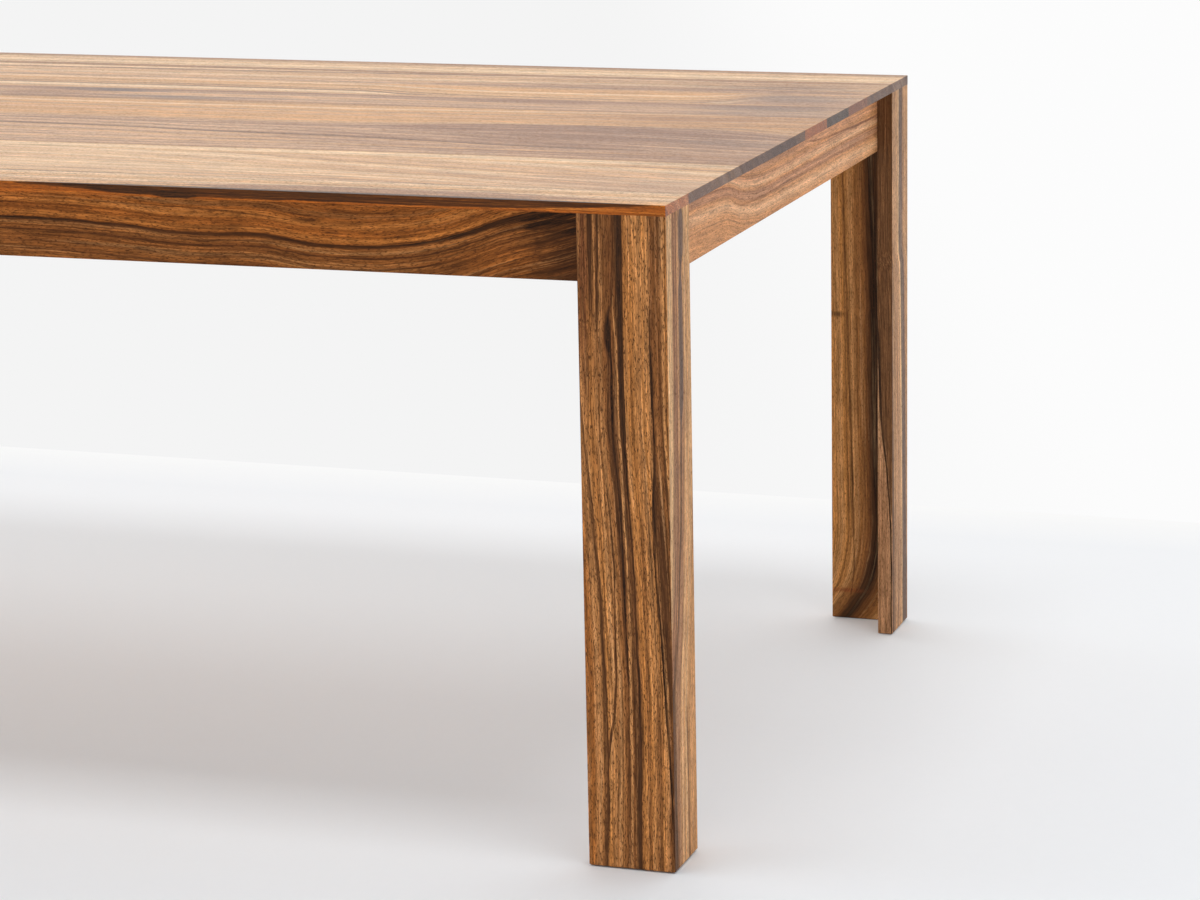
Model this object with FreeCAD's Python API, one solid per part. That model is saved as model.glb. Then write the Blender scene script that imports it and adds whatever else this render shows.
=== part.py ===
"""Dining table in solid walnut: a thin edge-glued top on an apron frame with mitred L-section legs.

Millimetres. +Z is up, Z = 0 is the floor and the origin lies under the middle of the top.
+X runs along the table, and the side towards -Y is called the front.
"""
import FreeCAD
import Part
import os

Vector = FreeCAD.Vector

# Overall sizes
table_length = 2200.0
table_width = 1050.0
table_height = 750.0

# Top, glued up from staves that run the whole length
top_thickness = 12.0
top_arris = 0.8
stave_width_shares = (0.078, 0.079, 0.078, 0.103, 0.102, 0.082, 0.093, 0.098, 0.087, 0.102, 0.098)

# Legs: a wide board along the side and a return board along the end, mitred at the corner
leg_board_thickness = 20.0
leg_wide_width = 101.0
leg_return_width = 83.0
leg_arris = 0.8
foot_chamfer = 1.5

# Loose tongue in the mitre of each leg
spline_thickness = 4.0
spline_width = 12.0
spline_end_margin = 25.0
spline_place_share = 0.6

# Apron frame, which sits inside the legs
apron_thickness = 20.0
apron_height = 78.0
apron_arris = 0.8

# Cross rails under the top
rail_count = 3
rail_thickness = 20.0
rail_height = 60.0

# Glue blocks in the corners of the apron frame
block_height = 60.0
block_bolt_clearance = 2.0

# Dowels of the frame's butt joints
dowel_diameter = 8.0
dowel_face_depth = 13.0
dowel_end_depth = 22.0
dowel_room = 1.0
dowel_chamfer = 1.0
corner_dowel_height_shares = (0.2, 0.5, 0.8)
rail_dowel_height_shares = (0.3, 0.7)

# Bolts that hold the legs to the apron frame, with washers and threaded inserts
bolt_diameter = 6.0
bolt_hole_diameter = 6.6
bolt_head_diameter = 10.5
bolt_head_height = 3.3
bolt_head_round = 1.6
bolt_socket_width = 4.0
bolt_socket_depth = 2.0
bolt_engagement = 9.0
bolt_place_share = 0.75
bolt_height_shares = (0.26, 0.64)
washer_diameter = 12.0
washer_bore = 6.4
washer_thickness = 1.6
insert_diameter = 10.0
insert_length = 12.0
insert_bore = 6.2
insert_room = 0.5

# Bent steel clips that hold the top down and let it move with the seasons
clip_thickness = 1.5
clip_inner_bend = 0.4
clip_width = 20.0
clip_tongue = 7.0
clip_drop = 9.0
clip_reach = 24.0
clip_standoff = 0.5
clip_hole_diameter = 4.2
clip_hole_share = 0.6
clip_slot_height = 3.0
clip_slot_room = 3.0
clip_width_shares = (-0.25, 0.25)
screw_diameter = 3.5
screw_bite = 8.0
screw_head_diameter = 7.0
screw_head_height = 2.4
screw_head_round = 0.9
screw_slot_width = 0.8
screw_slot_depth = 1.0

# Plastic glides let into the feet
glide_diameter = 12.0
glide_thickness = 4.0
glide_reveal = 1.0
glide_chamfer = 0.6
glide_inset = 14.0

# Clearances
glue_gap = 0.1
cut_overrun = 5.0
edge_tolerance = 0.01

# Places that follow from the sizes
half_length = table_length / 2
half_width = table_width / 2
underside_z = table_height - top_thickness
apron_bottom_z = underside_z - apron_height
foot_z = glide_reveal
frame_inset = leg_board_thickness + apron_thickness
inner_half_length = half_length - frame_inset
inner_half_width = half_width - frame_inset
bolt_along_side = frame_inset + bolt_place_share * (leg_wide_width - frame_inset)
bolt_along_end = frame_inset + bolt_place_share * (leg_return_width - frame_inset)
block_leg = bolt_along_end - washer_diameter / 2 - block_bolt_clearance - frame_inset
rail_pitch = 2 * inner_half_length / (rail_count + 1)

up = Vector(0, 0, 1)
to_right = Vector(1, 0, 0)
to_rear = Vector(0, 1, 0)

# Side of the end (+1 right) and of the width (+1 rear) for each corner
corners = {
    "front_left": (-1, -1),
    "front_right": (1, -1),
    "rear_left": (-1, 1),
    "rear_right": (1, 1),
}


def box(low, high):
    """Block between two opposite corners."""
    size = high - low
    return Part.makeBox(size.x, size.y, size.z, low)


def rod(diameter, start, end):
    """Round bar between two points."""
    return Part.makeCylinder(diameter / 2, start.distanceToPoint(end), start, end - start)


def edges_through(shape, points):
    """Edges of a shape that pass through any of the points."""
    found = []
    for point in points:
        spot = Part.Vertex(point)
        found += [edge for edge in shape.Edges if edge.distToShape(spot)[0] < edge_tolerance]
    return found


def rim(shape, centre, axis):
    """Round edges of a shape that lie in the plane through a centre, square to an axis."""
    plane_place = centre.dot(axis)
    circles = [edge for edge in shape.Edges if edge.isClosed()]
    return [edge for edge in circles if abs(edge.CenterOfMass.dot(axis) - plane_place) < edge_tolerance]


def prism(points, bottom, top):
    """Upright prism on an outline of (x, y) points."""
    outline = [Vector(x, y, bottom) for x, y in points]
    return Part.Face(Part.makePolygon(outline + outline[:1])).extrude(up * (top - bottom))


def at_front_right(inwards, back):
    """(x, y) of a place measured inwards from the right end and back from the front edge."""
    return half_length - inwards, back - half_width


def corner_point(inwards, back, height):
    """Point near the front right corner."""
    return Vector(*at_front_right(inwards, back), height)


def to_corner(shape, side, depth):
    """Copy of a shape of the front right corner, mirrored to another corner."""
    if side < 0:
        shape = shape.mirror(Vector(), to_right)
    if depth > 0:
        shape = shape.mirror(Vector(), to_rear)
    return shape


def at_all_corners(shapes):
    """Copies of front right shapes at every corner."""
    return [to_corner(shape, *signs) for signs in corners.values() for shape in shapes]


def apron_height_at(share):
    """Height above the floor at a share of the apron's height."""
    return apron_bottom_z + share * apron_height


def lower_long_edges(shape, direction):
    """Straight bottom edges of a shape that run along a direction."""
    bottom = shape.BoundBox.ZMin + edge_tolerance
    low = [edge for edge in shape.Edges if edge.BoundBox.ZMax < bottom]
    return [edge for edge in low if abs(edge.tangentAt(edge.FirstParameter).dot(direction)) > 0.5]


def leg_outline(inset):
    """L-section of the front right leg, drawn in all round by an inset."""
    thickness = leg_board_thickness - inset
    wide = leg_wide_width - inset
    back = leg_return_width - inset
    outline = [(inset, inset), (wide, inset), (wide, thickness), (thickness, thickness),
               (thickness, back), (inset, back)]
    return [at_front_right(*point) for point in outline]


def make_leg_blank():
    """Front right leg in one piece, with eased uprights and a chamfered foot."""
    blank = prism(leg_outline(0), foot_z, underside_z)
    inside_corner = Part.Vertex(corner_point(leg_board_thickness, leg_board_thickness, foot_z))
    uprights = [edge for edge in blank.Edges if edge.BoundBox.ZLength > foot_chamfer]
    arrises = [edge for edge in uprights if edge.distToShape(inside_corner)[0] > edge_tolerance]
    sections = []
    for inset, height in ((foot_chamfer, foot_z), (0, foot_z + foot_chamfer), (0, underside_z)):
        ring = [Vector(x, y, height) for x, y in leg_outline(inset)]
        sections.append(Part.makePolygon(ring + ring[:1]))
    chamfered = Part.makeLoft(sections, True, True)
    return blank.makeFillet(leg_arris, arrises).common(chamfered).removeSplitter()


def make_leg_boards():
    """Wide and return board of the front right leg, parted by the mitre."""
    blank = make_leg_blank()
    reach = max(leg_wide_width, leg_return_width) + cut_overrun
    outside = (-cut_overrun, -cut_overrun)
    wide_half = [outside, (reach, -cut_overrun), (reach, reach)]
    return_half = [outside, (reach, reach), (-cut_overrun, reach)]
    boards = []
    for half in (wide_half, return_half):
        outline = [at_front_right(*point) for point in half]
        boards.append(blank.common(prism(outline, 0, table_height)))
    return boards


def make_spline(gap):
    """Loose tongue of the front right mitre, or the groove for it when a gap is given."""
    place = spline_place_share * leg_board_thickness
    centre = corner_point(place, place, 0)
    half = Vector(spline_width / 2 + gap, spline_thickness / 2 + gap, 0)
    low = foot_z + spline_end_margin - gap
    high = underside_z - spline_end_margin + gap
    tongue = box(centre - half + up * low, centre + half + up * high)
    tongue.rotate(centre, up, 45)
    return tongue


def glide_places():
    """Centres, on the floor, of the front right leg's glides: two under the wide board, one more."""
    middle = leg_board_thickness / 2
    return [corner_point(leg_board_thickness + glide_inset, middle, 0),
            corner_point(leg_wide_width - glide_inset, middle, 0),
            corner_point(middle, leg_return_width - glide_inset, 0)]


def make_glides():
    """Round glides of the front right leg, with eased rims on the floor."""
    glides = []
    for place in glide_places():
        glide = rod(glide_diameter, place, place + up * glide_thickness)
        glides.append(glide.makeChamfer(glide_chamfer, rim(glide, place, up)))
    return glides


def glide_pockets():
    """Bored recesses that hold the front right glides."""
    diameter = glide_diameter + 2 * glue_gap
    below = up * cut_overrun
    return [rod(diameter, place - below, place + up * glide_thickness) for place in glide_places()]


def bolt_stations():
    """Front right leg bolts: where apron and leg meet, and the way out through the leg."""
    stations = []
    for share in bolt_height_shares:
        height = apron_height_at(share)
        stations.append((corner_point(bolt_along_side, leg_board_thickness, height), -to_rear))
        stations.append((corner_point(leg_board_thickness, bolt_along_end, height), to_right))
    return stations


def make_bolt(meeting, out):
    """Button-head bolt, driven from inside the frame."""
    seat = meeting - out * (apron_thickness + washer_thickness)
    tip = meeting + out * bolt_engagement
    back = seat - out * bolt_head_height
    head = rod(bolt_head_diameter, back, seat)
    head = head.makeFillet(bolt_head_round, rim(head, back, out))
    bolt = rod(bolt_diameter, seat, tip).fuse(head).removeSplitter()
    corner_radius = bolt_socket_width / 3 ** 0.5
    across = up * corner_radius
    ring = [back + FreeCAD.Rotation(out, 60 * step).multVec(across) for step in range(6)]
    socket = Part.Face(Part.makePolygon(ring + ring[:1])).extrude(out * bolt_socket_depth)
    return bolt.cut(socket)


def make_washer(meeting, out):
    """Flat washer between bolt head and apron."""
    seat = meeting - out * apron_thickness
    back = seat - out * washer_thickness
    overrun = out * cut_overrun
    return rod(washer_diameter, back, seat).cut(rod(washer_bore, back - overrun, seat + overrun))


def make_insert(meeting, out):
    """Threaded insert, flush with the inner face of the leg board."""
    end = meeting + out * insert_length
    overrun = out * cut_overrun
    return rod(insert_diameter, meeting, end).cut(rod(insert_bore, meeting - overrun, end + overrun))


def insert_pocket(meeting, out):
    """Blind hole in the leg board for an insert."""
    bottom = meeting + out * (insert_length + insert_room)
    return rod(insert_diameter + 2 * glue_gap, meeting - out * cut_overrun, bottom)


def bolt_hole(meeting, out):
    """Hole through the apron for a leg bolt."""
    start = meeting - out * (apron_thickness + cut_overrun)
    return rod(bolt_hole_diameter, start, meeting + out * cut_overrun)


def make_dowel(joint, into_face):
    """Dowel with chamfered ends, from the end of one board into the face of the other."""
    start = joint - into_face * dowel_end_depth
    end = joint + into_face * dowel_face_depth
    dowel = rod(dowel_diameter, start, end)
    ends = rim(dowel, start, into_face) + rim(dowel, end, into_face)
    return dowel.makeChamfer(dowel_chamfer, ends)


def dowel_hole(joint, into_face):
    """The two bores of a dowel, with room for the glue."""
    start = joint - into_face * (dowel_end_depth + dowel_room)
    end = joint + into_face * (dowel_face_depth + dowel_room)
    return rod(dowel_diameter + 2 * glue_gap, start, end)


def corner_dowel_stations():
    """Joints between the right end apron's front end and the front apron."""
    middle = leg_board_thickness + apron_thickness / 2
    heights = [apron_height_at(share) for share in corner_dowel_height_shares]
    return [(corner_point(middle, frame_inset, height), -to_rear) for height in heights]


def rail_places():
    """Middle of each cross rail along the table."""
    return [rail_pitch * (step + 1) - inner_half_length for step in range(rail_count)]


def rail_dowel_stations():
    """Joints between the cross rails' ends and the long aprons."""
    stations = []
    for place in rail_places():
        for share in rail_dowel_height_shares:
            height = underside_z - rail_height + share * rail_height
            stations.append((Vector(place, -inner_half_width, height), -to_rear))
            stations.append((Vector(place, inner_half_width, height), to_rear))
    return stations


def make_block():
    """Three-cornered glue block in the frame's front right corner."""
    outline = [(frame_inset, frame_inset), (frame_inset + block_leg, frame_inset),
               (frame_inset, frame_inset + block_leg)]
    points = [at_front_right(*point) for point in outline]
    margin = (apron_height - block_height) / 2
    return prism(points, apron_bottom_z + margin, underside_z - margin)


def make_long_apron():
    """Front apron, between the return boards of the two front legs."""
    reach = half_length - leg_board_thickness
    low = Vector(-reach, leg_board_thickness - half_width, apron_bottom_z)
    high = Vector(reach, -inner_half_width, underside_z)
    apron = box(low, high)
    return apron.makeFillet(apron_arris, lower_long_edges(apron, to_right))


def make_end_apron():
    """Right end apron, between the two long aprons."""
    low = Vector(inner_half_length, -inner_half_width, apron_bottom_z)
    high = Vector(half_length - leg_board_thickness, inner_half_width, underside_z)
    apron = box(low, high)
    return apron.makeFillet(apron_arris, lower_long_edges(apron, to_rear))


def make_rail(place):
    """Cross rail between the two long aprons."""
    low = Vector(place - rail_thickness / 2, -inner_half_width, underside_z - rail_height)
    high = Vector(place + rail_thickness / 2, inner_half_width, underside_z)
    rail = box(low, high)
    return rail.makeFillet(apron_arris, lower_long_edges(rail, to_rear))


def clip_stations():
    """Foot of each clip on its carrier's face, under the top, and the turn that points it inwards."""
    stations = []
    for step in range(rail_count + 1):
        bay_middle = rail_pitch * (step + 0.5) - inner_half_length
        stations.append((Vector(bay_middle, -inner_half_width, underside_z), 90))
        stations.append((Vector(bay_middle, inner_half_width, underside_z), 270))
    for share in clip_width_shares:
        across = share * table_width
        stations.append((Vector(inner_half_length, across, underside_z), 180))
        stations.append((Vector(-inner_half_length, across, underside_z), 0))
        for place in rail_places():
            stations.append((Vector(place + rail_thickness / 2, across, underside_z), 0))
    return stations


def placed(shape, station):
    """Shape made at the origin, pointing along +X, moved to a clip's station."""
    foot, turn = station
    return shape.rotated(Vector(), up, turn).translated(foot)


def make_clip():
    """Bent strip: a tongue for the carrier's slot, a riser, and a plate with the screw hole."""
    riser = clip_standoff + clip_thickness
    tongue_top = clip_thickness - clip_drop
    profile = [
        (-clip_tongue, -clip_drop), (riser, -clip_drop), (riser, -clip_thickness),
        (clip_reach, -clip_thickness), (clip_reach, 0), (clip_standoff, 0),
        (clip_standoff, tongue_top), (-clip_tongue, tongue_top),
    ]
    outline = [Vector(out, -clip_width / 2, height) for out, height in profile]
    strip = Part.Face(Part.makePolygon(outline + outline[:1])).extrude(to_rear * clip_width)
    inner = [Vector(riser, 0, -clip_thickness), Vector(clip_standoff, 0, tongue_top)]
    outer = [Vector(riser, 0, -clip_drop), Vector(clip_standoff, 0, 0)]
    strip = strip.makeFillet(clip_inner_bend, edges_through(strip, inner))
    strip = strip.makeFillet(clip_inner_bend + clip_thickness, edges_through(strip, outer))
    hole = Vector(clip_hole_share * clip_reach, 0, 0)
    return strip.cut(rod(clip_hole_diameter, hole - up * clip_drop, hole + up * cut_overrun))


def make_clip_screw():
    """Slotted pan-head screw from below the clip's plate into the top."""
    axis = Vector(clip_hole_share * clip_reach, 0, 0)
    seat = axis - up * clip_thickness
    bottom = seat - up * screw_head_height
    head = rod(screw_head_diameter, bottom, seat)
    head = head.makeFillet(screw_head_round, rim(head, bottom, up))
    screw = rod(screw_diameter, seat, axis + up * screw_bite).fuse(head)
    half = Vector(screw_head_diameter, screw_slot_width / 2, 0)
    slot = box(bottom - half - up * cut_overrun, bottom + half + up * screw_slot_depth)
    return screw.removeSplitter().cut(slot)


def screw_pilot():
    """Hole in the top for a clip's screw."""
    axis = Vector(clip_hole_share * clip_reach, 0, 0)
    end = axis + up * (screw_bite + glue_gap)
    return rod(screw_diameter + 2 * glue_gap, axis - up * cut_overrun, end)


def clip_slot():
    """Slot in the carrier's face: the tongue pulls up against its upper wall."""
    half = clip_width / 2 + clip_slot_room
    top = clip_thickness - clip_drop
    return box(Vector(-clip_tongue - clip_slot_room, -half, top - clip_slot_height),
               Vector(cut_overrun, half, top))


def make_top_panel():
    """The whole top, with its upper edge eased all round."""
    low = Vector(-half_length, -half_width, underside_z)
    panel = box(low, Vector(half_length, half_width, table_height))
    upper = [edge for edge in panel.Edges if edge.BoundBox.ZMin > table_height - edge_tolerance]
    return panel.makeFillet(top_arris, upper)


def make_staves():
    """Boards of the top, from the front to the rear."""
    panel = make_top_panel().cut([placed(screw_pilot(), station) for station in clip_stations()])
    staves = []
    front = -half_width
    for share in stave_width_shares:
        rear = front + share * table_width / sum(stave_width_shares)
        low = Vector(-half_length - cut_overrun, front, underside_z - cut_overrun)
        high = Vector(half_length + cut_overrun, rear, table_height + cut_overrun)
        staves.append(panel.common(box(low, high)))
        front = rear
    return staves


def make_legs():
    """Leg boards and splines of all corners, by name."""
    bores = [make_spline(glue_gap)] + glide_pockets()
    bores += [insert_pocket(*station) for station in bolt_stations()]
    wide_board, return_board = [board.cut(bores) for board in make_leg_boards()]
    pieces = {}
    for corner, signs in corners.items():
        pieces[f"{corner}_leg_wide_board"] = to_corner(wide_board, *signs)
        pieces[f"{corner}_leg_return_board"] = to_corner(return_board, *signs)
        pieces[f"{corner}_leg_spline"] = to_corner(make_spline(0), *signs)
    return pieces


def make_frame():
    """Aprons, cross rails and glue blocks, by name, with their bores and clip slots."""
    bores = at_all_corners([bolt_hole(*station) for station in bolt_stations()])
    bores += at_all_corners([dowel_hole(*station) for station in corner_dowel_stations()])
    bores += [dowel_hole(*station) for station in rail_dowel_stations()]
    bores += [placed(clip_slot(), station) for station in clip_stations()]
    boards = {
        "front_apron": make_long_apron(),
        "rear_apron": make_long_apron().mirror(Vector(), to_rear),
        "right_end_apron": make_end_apron(),
        "left_end_apron": make_end_apron().mirror(Vector(), to_right),
    }
    for number, place in enumerate(rail_places(), start=1):
        boards[f"cross_rail_{number}"] = make_rail(place)
    pieces = {name: board.cut(bores) for name, board in boards.items()}
    for corner, signs in corners.items():
        pieces[f"{corner}_glue_block"] = to_corner(make_block(), *signs)
    return pieces


def make_fasteners():
    """Groups of like fasteners and glides, by name."""
    groups = {
        "apron_dowels": at_all_corners([make_dowel(*joint) for joint in corner_dowel_stations()]),
        "rail_dowels": [make_dowel(*station) for station in rail_dowel_stations()],
        "leg_bolts": at_all_corners([make_bolt(*station) for station in bolt_stations()]),
        "leg_bolt_washers": at_all_corners([make_washer(*station) for station in bolt_stations()]),
        "threaded_inserts": at_all_corners([make_insert(*station) for station in bolt_stations()]),
        "top_clips": [placed(make_clip(), station) for station in clip_stations()],
        "top_clip_screws": [placed(make_clip_screw(), station) for station in clip_stations()],
        "foot_glides": at_all_corners(make_glides()),
    }
    return {name: Part.makeCompound(shapes) for name, shapes in groups.items()}


def main():
    """Build every piece and write one file for each."""
    pieces = {}
    for number, stave in enumerate(make_staves(), start=1):
        pieces[f"top_stave_{number:02d}"] = stave
    pieces.update(make_frame())
    pieces.update(make_legs())
    pieces.update(make_fasteners())
    os.makedirs("parts", exist_ok=True)
    for name, shape in pieces.items():
        shape.exportStep(f"parts/{name}.step")
        print(name, len(shape.Solids), shape.isValid(), round(shape.Volume))


main()
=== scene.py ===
"""Looks of a walnut dining table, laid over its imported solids.

Every board gets a walnut of its own, drawn in layers: the ground colours across the board, the way the
grain runs, then the patches and streaks. The rest of the file holds the joinery's and the fittings'
finishes, a pale studio and the camera.
"""

import math
from collections import namedtuple
from itertools import product

import bmesh
import bpy
from bpy.props import FloatProperty, FloatVectorProperty, PointerProperty
from mathutils import Matrix, Vector


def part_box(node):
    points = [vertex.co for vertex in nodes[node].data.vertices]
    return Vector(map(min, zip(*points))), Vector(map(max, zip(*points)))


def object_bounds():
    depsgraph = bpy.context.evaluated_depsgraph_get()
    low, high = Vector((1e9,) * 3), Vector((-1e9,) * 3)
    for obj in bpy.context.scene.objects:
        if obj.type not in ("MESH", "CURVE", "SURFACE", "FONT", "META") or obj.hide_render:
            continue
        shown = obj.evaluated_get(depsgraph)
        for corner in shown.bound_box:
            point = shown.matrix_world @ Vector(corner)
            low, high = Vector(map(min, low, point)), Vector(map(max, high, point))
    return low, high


bl_info = {
    "name": "Walnut Dining Table",
    "version": (1, 0, 0),
    "blender": (4, 5, 0),
    "location": "3D View > Sidebar > Table",
    "description": "Finishes a walnut dining table and sets it in a pale studio",
    "category": "Object",
}

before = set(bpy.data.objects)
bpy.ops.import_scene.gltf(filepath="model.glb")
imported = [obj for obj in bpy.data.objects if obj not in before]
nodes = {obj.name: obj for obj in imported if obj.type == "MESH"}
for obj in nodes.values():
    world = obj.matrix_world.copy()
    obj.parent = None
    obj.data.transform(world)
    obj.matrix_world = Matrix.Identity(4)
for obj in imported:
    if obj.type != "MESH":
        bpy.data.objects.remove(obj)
cad_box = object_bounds()
mm_per_metre = 1000.0


def in_mm(corners):
    return [corner * mm_per_metre for corner in corners]


table_low, table_high = in_mm(cad_box)
apron_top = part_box("front_apron")[1].z * mm_per_metre

# Casts are colours that the wood is multiplied by
no_cast = (1.0, 1.0, 1.0)
end_grain_cast = (0.40, 0.34, 0.36)
# The top's tint is partly its own tone and partly painted sheen: it pales and blues the top as a white
# reflection would. The edge cast takes most of that pallor off the front and rear edges, and darkens them.
top_tint_and_painted_sheen = (0.93, 1.095, 1.46)
top_edge_cast = (1.0, 0.62, 0.20)

# Strands across a millimetre: more of them fray a streak more finely
usual_strand = 0.7
stave_strand = 0.1
# The grain of the top is quieter than that of the other boards
top_grain = 0.6

# What is drawn on a board, placed in millimetres along and across it. A streak's width is what lies on
# either side of its path, and soft is how far it fades before and beyond that.
Streak = namedtuple("Streak", "tone path width soft strength", defaults=(1.0,))
Patch = namedtuple("Patch", "tone centre size strength")
Figure = namedtuple(
    "Figure",
    "ground flow streaks patches waver tint end edge far grain strand",
    defaults=((), (), (), 2.0, no_cast, end_grain_cast, no_cast, no_cast, 1.0, usual_strand),
)
Finish = namedtuple("Finish", "roughness specular")
# A board's axis follows one of the object's, forwards or backwards, from a start in millimetres
Axis = namedtuple("Axis", "letter start sign", defaults=(1.0,))
Axes = namedtuple("Axes", "along across depth")
Lamp = namedtuple("Lamp", "name place aim width height")


def stave_figure(**marks):
    """The figure of a stave of the top, with broad strands."""
    return Figure(strand=stave_strand, **marks)


front_leg_wide = Figure(
    ground=(
        (-126, "brown"), (-118, "walnut"), (-108, "russet"), (-100, "tan"), (-88, "amber"), (-81, "tan"),
        (-79, "walnut"), (-76, "tan"), (-70, "walnut"), (-65, "brown"), (-59, "brown"), (-57, "tan"),
        (-55, "brown"), (-50, "walnut"), (-48, "amber"), (-40, "amber"), (-31, "tan"), (-27, "amber"),
        (-21, "tan"), (-18, "brown"), (-12, "walnut"), (-8, "brown"), (-5, "tan"), (0, "amber"),
    ),
    flow=(
        (0, 13), (40, 13), (140, 15), (190, 15), (240, 13.5), (290, 11.5), (340, 9.5), (390, 7),
        (460, 3), (540, 0), (738, 0),
    ),
    streaks=(
        Streak("umber", (
            (0, -80), (90, -77), (140, -77), (220, -78), (270, -79), (340, -83), (440, -91), (510, -97),
            (560, -102), (738, -112),
        ), (
            (0, 1.6), (250, 1.2), (340, 0.6), (430, 0.2), (520, -0.5), (738, -1),
        ), (6.5, 1), 0.85),
        Streak("umber", (
            (0, -77), (100, -76), (140, -74), (155, -72), (190, -67), (240, -65), (340, -65), (380, -67),
            (430, -71), (490, -76), (600, -79), (738, -77),
        ), (
            (0, -2), (120, -1), (150, 1), (330, 0.4), (420, 0.2), (480, -1.2), (590, -1.2), (620, 0.6),
            (738, 0.8),
        ), (1.8, 0.8)),
        Streak("umber", ((0, -88), (500, -87), (738, -86)),
               ((0, -4), (590, -4), (640, 0.6), (738, 1.6)), (3, 1.5)),
        Streak("umber", (
            (0, -52), (160, -52), (200, -50.5), (240, -51.5), (290, -53), (340, -54), (380, -56),
            (420, -58.5), (470, -62.5), (520, -65.5), (565, -65), (608, -67.5), (650, -62), (738, -59),
        ), (
            (0, -3), (150, -0.6), (240, 0.3), (340, 0.9), (400, 2.4), (470, 3.6), (530, 3.4), (565, 2),
            (608, 3.4), (640, 1), (690, 1.2), (738, 2.4),
        ), (2.6, 1)),
        Streak("ink", (
            (0, -52), (200, -50.5), (240, -51.5), (290, -53), (340, -54), (380, -55), (420, -57),
            (470, -61), (520, -64), (565, -64), (608, -67.5), (650, -62), (738, -59),
        ), (
            (0, -3), (180, -3), (230, 0.2), (300, 0.4), (380, 0.4), (440, 0.5), (530, 0.6), (570, 0.2),
            (608, 2.6), (630, -0.2), (738, -0.5),
        ), (2, 1.5)),
        Streak("ink", (
            (0, -40), (140, -38.5), (190, -38), (270, -40), (340, -42), (410, -46), (460, -49.5),
            (540, -52.5), (640, -53.5), (738, -53.5),
        ), (
            (0, 1.4), (190, 0.9), (280, 0.3), (400, 0.5), (470, 1.6), (540, 2.6), (640, 2.8), (738, 3),
        ), (2.6, 1), 0.85),
        Streak("umber", (
            (0, -44), (140, -43), (240, -44), (340, -46.5), (410, -50), (480, -54), (738, -60),
        ), (
            (0, 0.5), (200, 1.6), (330, 2), (430, 1), (500, -0.5), (738, 0.4),
        ), (1, 2), 0.7),
        Streak("tan", (
            (0, -50), (140, -48), (240, -48), (330, -49.5), (390, -52), (440, -54.5), (520, -57),
            (590, -58.5), (640, -61), (738, -62),
        ), (
            (0, 0.6), (240, 1.4), (330, 0.7), (440, 0.4), (520, 0.3), (640, 0.3), (680, -2), (738, -2),
        ), (1.2, 1), 0.85),
        Streak("ink", (
            (0, 0.5), (80, -2), (140, -5), (210, -9), (270, -12), (340, -17), (390, -18.5), (440, -17),
            (490, -17), (540, -18.5), (600, -20), (738, -21),
        ), (
            (0, 1.2), (240, 0.7), (330, 0.7), (380, 1), (430, 2.4), (460, 0.4), (500, 0.2), (560, 0.8),
            (620, -0.2), (738, -0.8),
        ), (0.8, 2.2)),
        Streak("umber", (
            (0, 14), (140, 6), (210, 0), (290, -6), (370, -11), (430, -14), (500, -15), (738, -16),
        ), (
            (0, 2), (210, 3.4), (330, 4.6), (400, 3.2), (440, 0.8), (480, -2), (738, -2),
        ), (2, 2.4), 0.8),
        Streak("umber", ((0, -9), (738, -9.5)),
               ((0, -2), (640, -2), (680, 0.4), (738, 0.8)), (1.4, 1.4), 0.7),
        Streak("brown", ((0, -28), (300, -29), (380, -31), (440, -34), (738, -38)),
               ((0, 1.2), (330, 1.4), (400, 0.6), (450, -2), (738, -2)), (1.8, 1.8), 0.7),
        Streak("brown", ((0, -17), (150, -16), (220, -19), (280, -21), (738, -24)),
               ((0, 2.6), (120, 1.8), (200, 0.6), (260, -2), (738, -2)), (2.2, 2.2), 0.7),
    ),
    patches=(
        Patch("brown", (760, -82), (300, 50), 0.9),
        Patch("umber", (760, -98), (160, 22), 0.8),
        Patch("brown", (640, -15), (260, 7), 0.6),
        Patch("smoke", (660, -98), (200, 12), 0.8),
        Patch("brown", (560, -70), (50, 8), 0.6),
        Patch("ink", (258, -50), (5, 2.4), 0.9),
        Patch("ink", (381, -68), (4, 1.8), 0.9),
        Patch("umber", (428, -17), (22, 4.5), 0.9),
    ),
    waver=0.8,
    tint=(0.69, 0.665, 0.72),
    grain=1.3,
)

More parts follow.
